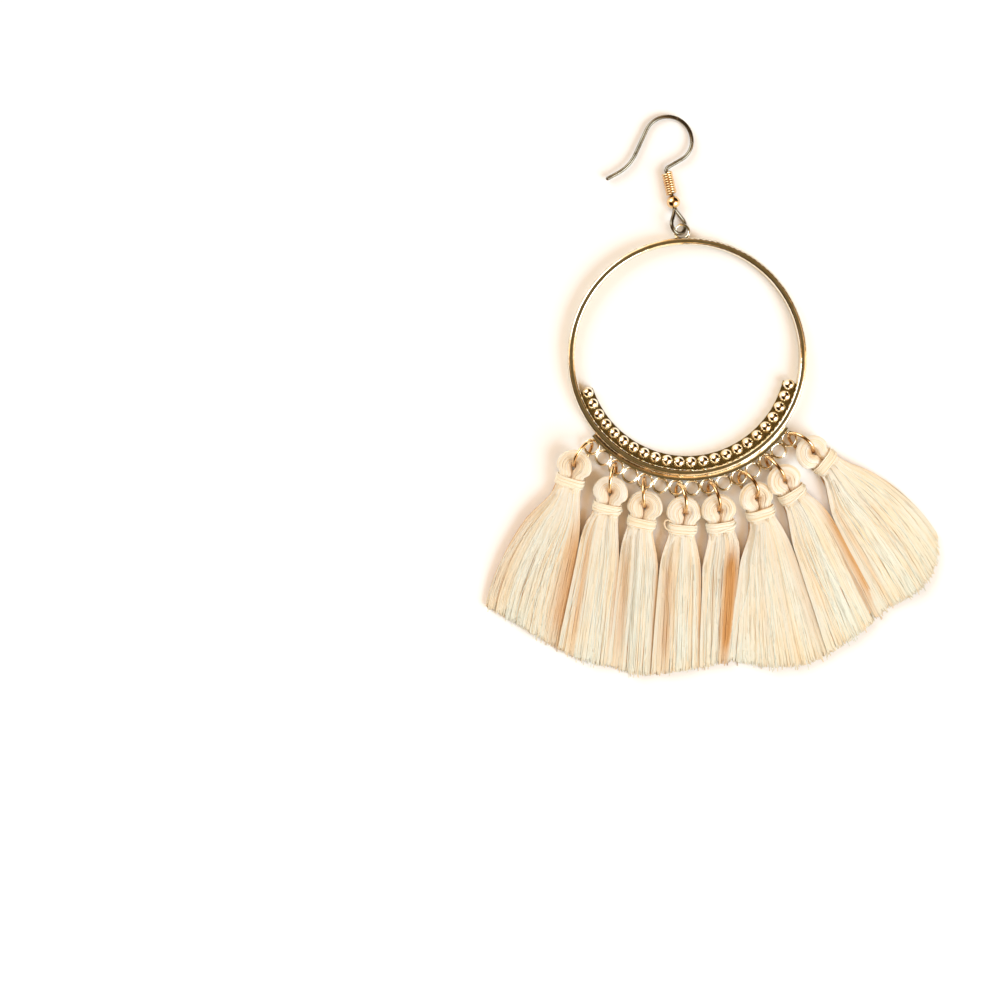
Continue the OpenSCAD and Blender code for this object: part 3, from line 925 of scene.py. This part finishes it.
def head_line(i, rng, stations, turn, ring):
    """A thread at the angle turn round the hank, and how far inside the fold it lies."""
    phase = rng.uniform(0, ROUND)
    points, inside = [], []
    for k, (centre, outward, rise, radius, full, room) in enumerate(stations):
        share = k / (len(stations) - 1)
        angle = turn + TWIST * (share - 0.5) + SWAY * math.sin(ROUND * share + phase)
        radius = radius * ring - THREAD_D / 2
        c, up = math.cos(angle), math.sin(angle)
        off = c * radius * full if c > 0 else c * room * ring
        height = max(rise + radius * math.copysign(abs(up) ** FLATNESS, up), THREAD_D / 2 + LIFT)
        a, b = centre[0] + off * outward[0], centre[1] + off * outward[1]
        points.append(head_point(i, a, b, height))
        inside.append(max(0, -c) ** 2)
    return np.array(points), np.array(inside)


def head_lines(i):
    rng = np.random.default_rng(300 + i)
    stations = stations_along(i)
    lines = []
    for ring, depth in HEAD_LAYERS:
        for k in range(HEAD_THREADS):
            turn = 2 * math.pi * (k + rng.uniform(-0.25, 0.25)) / HEAD_THREADS
            points, inside = head_line(i, rng, stations, turn, ring * rng.uniform(0.96, 1.03))
            # Inner threads, and threads inside the fold at the crease, take painted shade.
            depths = depth * rng.uniform(0.6, 1.2) + 0.4 * inside
            lines.append((points, rng.uniform(0.0, 1.0), depths, 0.0))
    return lines


print(len(HEAD_LAYERS) * HEAD_THREADS, "threads in a head")

# %% [markdown]
# ## Cores
#
# Under the threads that show there are many that don't. In a head, a copy of the solid that is
# drawn in a little stands for them, and in a skirt, a closed form just under the top threads. They
# are painted in the orange of thread that lies deep, as painted shade in the chinks.

# %% Core of a head
# The numbers of a core, in the order of THREAD_NUMBERS, whose depth gives it painted shade
CORE_NUMBERS = (0.5, 0.5, 0.0)
# How far a head's core is drawn in, and how far it reaches into the skirt, in millimetres
HEAD_INSET = 0.32
HEAD_CORE_REACH = 0.6


def colour_as_core(mesh):
    for name, value in zip(THREAD_NUMBERS, CORE_NUMBERS):
        layer = mesh.attributes.new(name, "FLOAT", "POINT")
        layer.data.foreach_set("value", np.full(len(mesh.vertices), value))


def draw_in(piece, depth):
    """Merges a copy of a solid and draws its surface in by a depth in millimetres."""
    weld = piece.modifiers.new("weld", "WELD")
    weld.merge_threshold = 1e-6
    inset = piece.modifiers.new("inset", "DISPLACE")
    inset.strength = -depth * MM
    inset.mid_level = 0
    graph = bpy.context.evaluated_depsgraph_get()
    plain = bpy.data.meshes.new_from_object(piece.evaluated_get(graph))
    piece.modifiers.clear()
    piece.data = plain
    colour_as_core(plain)


def head_core(i):
    """The solid's head and neck, drawn in and cut off where the skirt begins."""
    made = put(f"head_core_{i + 1}", nodes[f"tassel_{i + 1}"].data.copy())
    draw_in(made, HEAD_INSET)
    mesh = bmesh.new()
    mesh.from_mesh(made.data)
    cut = head_point(i, SKIRT_FROM + HEAD_CORE_REACH, 0, 0) * MM
    down = np.append(way(TASSELS[i][HEAD_WAY]), 0)
    parts = mesh.verts[:] + mesh.edges[:] + mesh.faces[:]
    bmesh.ops.bisect_plane(mesh, geom=parts, plane_co=cut, plane_no=down, clear_outer=True)
    bmesh.ops.holes_fill(mesh, edges=mesh.edges)
    mesh.to_mesh(made.data)
    mesh.free()
    return made


print(f"a head's core lies {HEAD_INSET} mm inside the solid")

# %% Core of a skirt
# The places across and down a skirt that its core goes through
CORE_ACROSS = np.linspace(-0.98, 0.98, 25)
CORE_DOWN = np.linspace(-0.03, 0.94, 28)
# How far it lies under the top and over the underside, in millimetres, the lowest that its top
# may be, and how thick it is at least
UNDER_TOP, OVER_UNDERSIDE = 0.17, 0.12
CORE_TOP, CORE_THICK = 0.2, 0.3


def skirt_core(i):
    """A closed form just under the skirt's top threads and just over its lowest ones."""
    points, faces = [], []
    for t in CORE_DOWN:
        xys, low, top = skirts[i].at(CORE_ACROSS, t * (1 + hem_round(i, CORE_ACROSS)))
        lowest = np.minimum(low + OVER_UNDERSIDE, top - CORE_THICK)
        points.append(np.column_stack([xys, np.maximum(top - UNDER_TOP, CORE_TOP)]))
        points.append(np.column_stack([xys, lowest])[::-1])
    n = 2 * len(CORE_ACROSS)
    for row in range(len(CORE_DOWN) - 1):
        for k in range(n):
            a, b = row * n + k, row * n + (k + 1) % n
            faces.append((a, b, b + n, a + n))
    last = (len(CORE_DOWN) - 1) * n
    faces += [tuple(range(n)), tuple(range(last, last + n))]
    mesh = bpy.data.meshes.new(f"skirt_core_{i + 1}")
    mesh.from_pydata((np.concatenate(points) * MM).tolist(), [], faces)
    shell = bmesh.new()
    shell.from_mesh(mesh)
    bmesh.ops.recalc_face_normals(shell, faces=shell.faces)
    shell.to_mesh(mesh)
    shell.free()
    colour_as_core(mesh)
    return put(mesh.name, mesh)


print(f"a skirt's core lies {UNDER_TOP} mm under its top threads")


# %% Lay the tassels
def join(name, pieces):
    """Joins objects into the first one."""
    bpy.ops.object.select_all(action="DESELECT")
    for piece in pieces:
        piece.select_set(True)
    bpy.context.view_layer.objects.active = pieces[0]
    bpy.ops.object.join()
    pieces[0].name = name
    pieces[0].data.name = name
    return pieces[0]


def finish_as(piece, finish):
    """Gives a piece one finish in place of what it has."""
    piece.data.materials.clear()
    piece.data.materials.append(finish)
    return piece


def core(i):
    return finish_as(join(f"core_{i + 1}", [head_core(i), skirt_core(i)]), painted_shade_thread)


def triangles(piece):
    return sum(len(p.vertices) - 2 for p in piece.data.polygons)


tassel_pieces = []
for i in range(len(TASSELS)):
    skirt = lay(f"skirt_{i + 1}", skirt_lines(i), THREAD_D, tassel_thread)
    head = lay(f"head_{i + 1}", head_lines(i), THREAD_D, tassel_thread, sides=6)
    piece = join(f"thread_tassel_{i + 1}", [skirt, head, core(i)])
    tassel_pieces.append(piece)
    print(piece.name, triangles(piece), "triangles")

# %% [markdown]
# ## Bindings
#
# Thread is wound round the neck, seven turns side by side. The neck is two halves of the hank, so a
# turn runs round a shape like a running track. The turns are laid as one long line that climbs as
# it goes round, over a band that fills the space under them. No winding is quite even, so the
# line wavers a little, each turn has its own tone, and on some necks one turn lies across the rest.

# %% The line of a binding
TURNS = 7
STEPS_A_TURN = 30
WOUND_D = 0.25
# The line's middle, in millimetres outside each half of the hank, pressed in a little
PRESSED_IN = 0.03
WOUND_R = NECK_STRAND_D / 2 + NECK_GAP + BINDING_THREAD - WOUND_D / 2 - PRESSED_IN
# The share of the way round at which the thread starts and ends, on the neck's right side
START = 0.3
# How far the line wavers along the neck and in its height, how deep its ends are tucked over a
# share of a turn, and how much lower the outer turns lie, in millimetres
WAVER = 0.03
TUCK, TUCK_OVER = 0.12, 0.15
OUTER_LOW = 0.1
# Thread that lies under the neck takes this much more painted shade than thread on top
UNDERSIDE_SHADE = 0.7


def track_point(i, a, r, share):
    """A place on the track at a share of the way round, r outside each half of the hank."""
    straight = 2 * NECK_HALF
    arc = math.pi * r
    walk = (share % 1) * 2 * (straight + arc)
    if walk < straight:
        b, h = -NECK_HALF + walk, r
    elif walk < straight + arc:
        f = (walk - straight) / r
        b, h = NECK_HALF + r * math.sin(f), r * math.cos(f)
    elif walk < 2 * straight + arc:
        b, h = NECK_HALF - (walk - straight - arc), -r
    else:
        f = (walk - 2 * straight - arc) / r
        b, h = -NECK_HALF - r * math.sin(f), -r * math.cos(f)
    return head_point(i, a + h * sin(NECK_SLOPE), b, neck_at(a) + h * cos(NECK_SLOPE))


def wound_line(i):
    rng = np.random.default_rng(500 + i)
    steps = TURNS * STEPS_A_TURN
    pitch = (BINDING_L - WOUND_D) / TURNS
    waver = WAVER * np.sin(np.linspace(0, ROUND * TURNS * 0.6, steps) + rng.uniform(0, ROUND))
    points = []
    for k in range(steps):
        turns = TURNS * k / (steps - 1)
        ends = smooth(turns / TUCK_OVER) * smooth((TURNS - turns) / TUCK_OVER)
        tucked = TUCK * (1 - ends)
        low = OUTER_LOW * abs(2 * turns / TURNS - 1) ** 3
        a = BINDING_FROM + WOUND_D / 2 + pitch * turns + waver[k]
        r = WOUND_R - tucked - low + WAVER * math.sin(turns * 2.3 + i)
        points.append(track_point(i, a, r, turns + START))
    points = np.array(points)
    turn_tones = rng.uniform(0.1, 1, TURNS + 1)
    tones = np.interp(np.arange(steps) / STEPS_A_TURN, np.arange(TURNS + 1), turn_tones)
    depths = UNDERSIDE_SHADE * smooth((NECK_Z - points[:, 2]) / WOUND_R)
    return points, tones, depths, 0.0


print(f"{TURNS} turns of {WOUND_D} mm thread on a band {BINDING_L} mm long")

# %% Loose turns and a loop
# Tassels whose binding has one loose turn across the others, and how high it lies, in millimetres
LOOSE_TURNS = (2, 5, 7)
LOOSE_UP = 0.16
# The tassel whose thread end stands off in a small loop, as places along and across its neck,
# and how high the loop is over the neck's middle, in millimetres
LOOP_ON = 4
LOOP = [(0.1, -1.9), (-0.25, -2.6), (0.1, -3.1), (0.9, -3.0), (1.5, -2.4), (1.7, -1.7)]
LOOP_UP = 0.4
LOOSE_STEPS = 24


def loose_turn(i):
    """Half a turn that crosses the others on top and dips under them at its ends."""
    points = []
    for share in np.linspace(-0.02, 0.52, LOOSE_STEPS):
        a = BINDING_TO - 0.1 - (BINDING_L - 0.5) * share / 0.5
        lifted = LOOSE_UP * smooth(share / 0.06) * smooth((0.5 - share) / 0.06)
        points.append(track_point(i, a, WOUND_R + lifted, share + 1))
    return np.array(points), 1.0, 0.0, 0.0


def curve_through(points, steps):
    """Points on a smooth curve through the given ones."""
    points = np.array(points)
    padded = np.vstack([2 * points[0] - points[1], points, 2 * points[-1] - points[-2]])
    out = []
    for u in np.linspace(0, len(points) - 1.0001, steps):
        k, f = int(u), u - int(u)
        p = padded[k : k + 4]
        out.append(
            0.5 * (2 * p[1] + (p[2] - p[0]) * f + (2 * p[0] - 5 * p[1] + 4 * p[2] - p[3]) * f**2
                   + (3 * p[1] - p[0] - 3 * p[2] + p[3]) * f**3)
        )
    return np.array(out)


def loop_line(i):
    """The thread's end that stands off the neck in a loop."""
    loop = [head_point(i, BINDING_FROM + a, b, neck_at(a) + LOOP_UP) for a, b in LOOP]
    return curve_through(loop, LOOSE_STEPS), 0.3, 0.3, 0.0


def winding(i):
    lines = [wound_line(i)]
    if i + 1 in LOOSE_TURNS:
        lines.append(loose_turn(i))
    if i + 1 == LOOP_ON:
        lines.append(loop_line(i))
    return lines


print("loose turns on tassels", LOOSE_TURNS, "and a loop on tassel", LOOP_ON)

# %% Wind the bindings
BAND_INSET = 0.27


def inner_band(i):
    """The solid's band, drawn in to lie under the thread that is wound round it."""
    band = put(f"band_{i + 1}", nodes[f"binding_{i + 1}"].data.copy())
    draw_in(band, BAND_INSET)
    return finish_as(band, painted_shade_thread)


binding_pieces = []
for i in range(len(TASSELS)):
    wound = lay(f"wound_{i + 1}", winding(i), WOUND_D, binding_thread, sides=8, unevenness=0)
    piece = join(f"wound_binding_{i + 1}", [wound, inner_band(i)])
    binding_pieces.append(piece)
    print(piece.name, triangles(piece), "triangles")

# %% [markdown]
# ## Coil
#
# A short coil of thin wire grips the stem of the ear wire above its bead. It was wound on a
# mandrel, so its turns touch, and each end of the wire is cut square. It is one line swept with a
# wire's thickness, by the same tree as the threads.

# %% Coil
COIL_WIRE = 0.42
COIL_L = 4.1
# The solid coil's outer radius, which the wire reaches, and the radius of the wire's middle
COIL_OUT = 0.935
COIL_R = COIL_OUT - COIL_WIRE / 2
COIL_TURNS = 9
COIL_STEPS = 24
# The coil's upper end in millimetres, and the way along the stem from the bead to the arch
COIL_END = Vector((-2.166, 31.191, 0.965))
STEM_WAY = Vector((-0.1735, 0.9842, -0.0361)).normalized()


def coil():
    across = STEM_WAY.cross(Vector((0, 0, 1))).normalized()
    up = across.cross(STEM_WAY)
    steps = COIL_TURNS * COIL_STEPS
    points = []
    for k in range(steps + 1):
        f = 2 * math.pi * k / COIL_STEPS
        along = COIL_WIRE / 2 + (COIL_L - COIL_WIRE) * k / steps
        outward = math.cos(f) * up + math.sin(f) * across
        points.append(COIL_END - STEM_WAY * along + COIL_R * outward)
    line = (np.array(points), 0, 0, 0)
    return lay("wound_coil", [line], COIL_WIRE, gold_wire, sides=10, unevenness=0)


coil_piece = coil()
print(coil_piece.name, triangles(coil_piece), "triangles")

# %% [markdown]
# ## Table
#
# The earring lies on a white table, of painted board with the faint grain of the brush. It is dull,
# so it shows the earring's soft shadow and no reflection.

# %% Table
HALF_TABLE = 0.6
GRAIN_MM, GRAIN_H = 1.5, 0.1


def table():
    half = HALF_TABLE
    mesh = bpy.data.meshes.new("table")
    mesh.from_pydata(
        [(-half, -half, 0), (half, -half, 0), (half, half, 0), (-half, half, 0)], [], [(0, 1, 2, 3)]
    )
    made, tree = material("white_table")
    place = add(tree, "ShaderNodeTexCoord").outputs["Object"]
    grain = add(
        tree, "ShaderNodeTexNoise", {"Vector": place, "Scale": 1 / (GRAIN_MM * MM), "Detail": 3}
    )
    normal = add(
        tree, "ShaderNodeBump", {"Strength": 0.03, "Distance": GRAIN_H * MM, "Height": grain}
    )
    shader = add(
        tree, "ShaderNodeBsdfPrincipled",
        {"Base Color": "#F7F6F4", "Roughness": 0.8, "Normal": normal},
    )
    add(tree, "ShaderNodeOutputMaterial", {"Surface": shader})
    mesh.materials.append(made)
    top = put("table", mesh)


table()
print(f"table {2 * HALF_TABLE} m wide")

# %% [markdown]
# ## Light
#
# Soft light comes from two windows. Polished metal shows only what is round it, so the room
# matters as much as the lamps. Its warm walls are bright in two opposite corners and dark in the
# other two, which gives the gold its light and dark bands, and they make the shadows warm. The
# roof lights the threads warmly too, but what polished metal mirrors up there is the dark side of
# a photographer's set, so the roof is dark in reflections.

# %% Windows and room
DAYLIGHT = "#C6E6FF"
# How much the corners differ from the walls, with the front right and the back left ones bright,
# how much brighter the right is than the left, and how bright the walls are between them
CORNERS, RIGHT, MIDDLE = -2.6, 0.15, 0.5
# The walls' colours, from dark to bright
WALLS = [
    (0.1, "#20130A"), (0.34, "#785838"), (0.5, "#DFB280"), (0.66, "#FFD8A4"), (0.9, "#FFEED2"),
]
# The roof as the threads and the table see it, and as metal does
ROOF, ROOF_IN_METAL = "#F2BC84", "#54482F"
# The walls pass into the roof between these heights, as shares of straight up
ROOF_FROM, ROOF_TO = 0.88, 0.965
BRIGHTNESS = 1.55


def lamp(name, place, size, watts, colour):
    """A round lamp, its place and size in metres, turned to the earring."""
    data = bpy.data.lights.new(name, "AREA")
    data.shape = "DISK"
    data.size = size
    data.energy = watts
    data.color = linear(colour)[:3]
    made = bpy.data.objects.new(name, data)
    made.location = place
    made.rotation_euler = (-Vector(place)).to_track_quat("-Z", "Y").to_euler()
    bpy.context.scene.collection.objects.link(made)


def room():
    """Warm walls, bright in two corners, under a roof that is dark in metal's reflections."""
    world = bpy.data.worlds.new("room")
    world.use_nodes = True
    tree = world.node_tree
    tree.nodes.clear()
    place = add(tree, "ShaderNodeTexCoord").outputs["Object"]
    x, y, z = add(tree, "ShaderNodeSeparateXYZ", {"Vector": place}).outputs
    diagonal = add(tree, "ShaderNodeMath", {0: x, 1: y}, operation="MULTIPLY")
    corners = add(tree, "ShaderNodeMath", {0: diagonal, 1: CORNERS}, operation="MULTIPLY")
    sides = add(tree, "ShaderNodeMath", {0: x, 1: RIGHT, 2: MIDDLE}, operation="MULTIPLY_ADD")
    share = add(tree, "ShaderNodeMath", {0: corners, 1: sides}, operation="ADD")
    walls = add(tree, "ShaderNodeValToRGB", {"Fac": share}, WALLS)
    in_metal = add(tree, "ShaderNodeLightPath").outputs["Is Glossy Ray"]
    roof = add(
        tree, "ShaderNodeMix", {0: in_metal, 6: ROOF, 7: ROOF_IN_METAL}, data_type="RGBA"
    ).outputs[2]
    up = add(tree, "ShaderNodeMapRange", {"Value": z, "From Min": ROOF_FROM, "From Max": ROOF_TO})
    glow = add(tree, "ShaderNodeMix", {0: up, 6: walls, 7: roof}, data_type="RGBA").outputs[2]
    sky = add(tree, "ShaderNodeBackground", {"Color": glow, "Strength": BRIGHTNESS})
    add(tree, "ShaderNodeOutputWorld", {"Surface": sky})
    bpy.context.scene.world = world


room()
lamp("window", (0.8, -0.6, 0.8), 0.9, 13.5, DAYLIGHT)
lamp("second_window", (-0.75, 0.6, 0.75), 0.9, 7.5, DAYLIGHT)
bpy.context.scene.view_settings.view_transform = "Standard"

# %% [markdown]
# ## Everything in its place
#
# The earring has no joints, so every piece rides on its one body. Each new piece hides the solid
# that it stands for.

# %% Ride and replace
for i, (tassel, binding) in enumerate(zip(tassel_pieces, binding_pieces)):
    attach(tassel, "root")
    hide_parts(f"tassel_{i + 1}")
    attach(binding, "root")
    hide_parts(f"binding_{i + 1}")
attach(coil_piece, "root")
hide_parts("hook_coil")
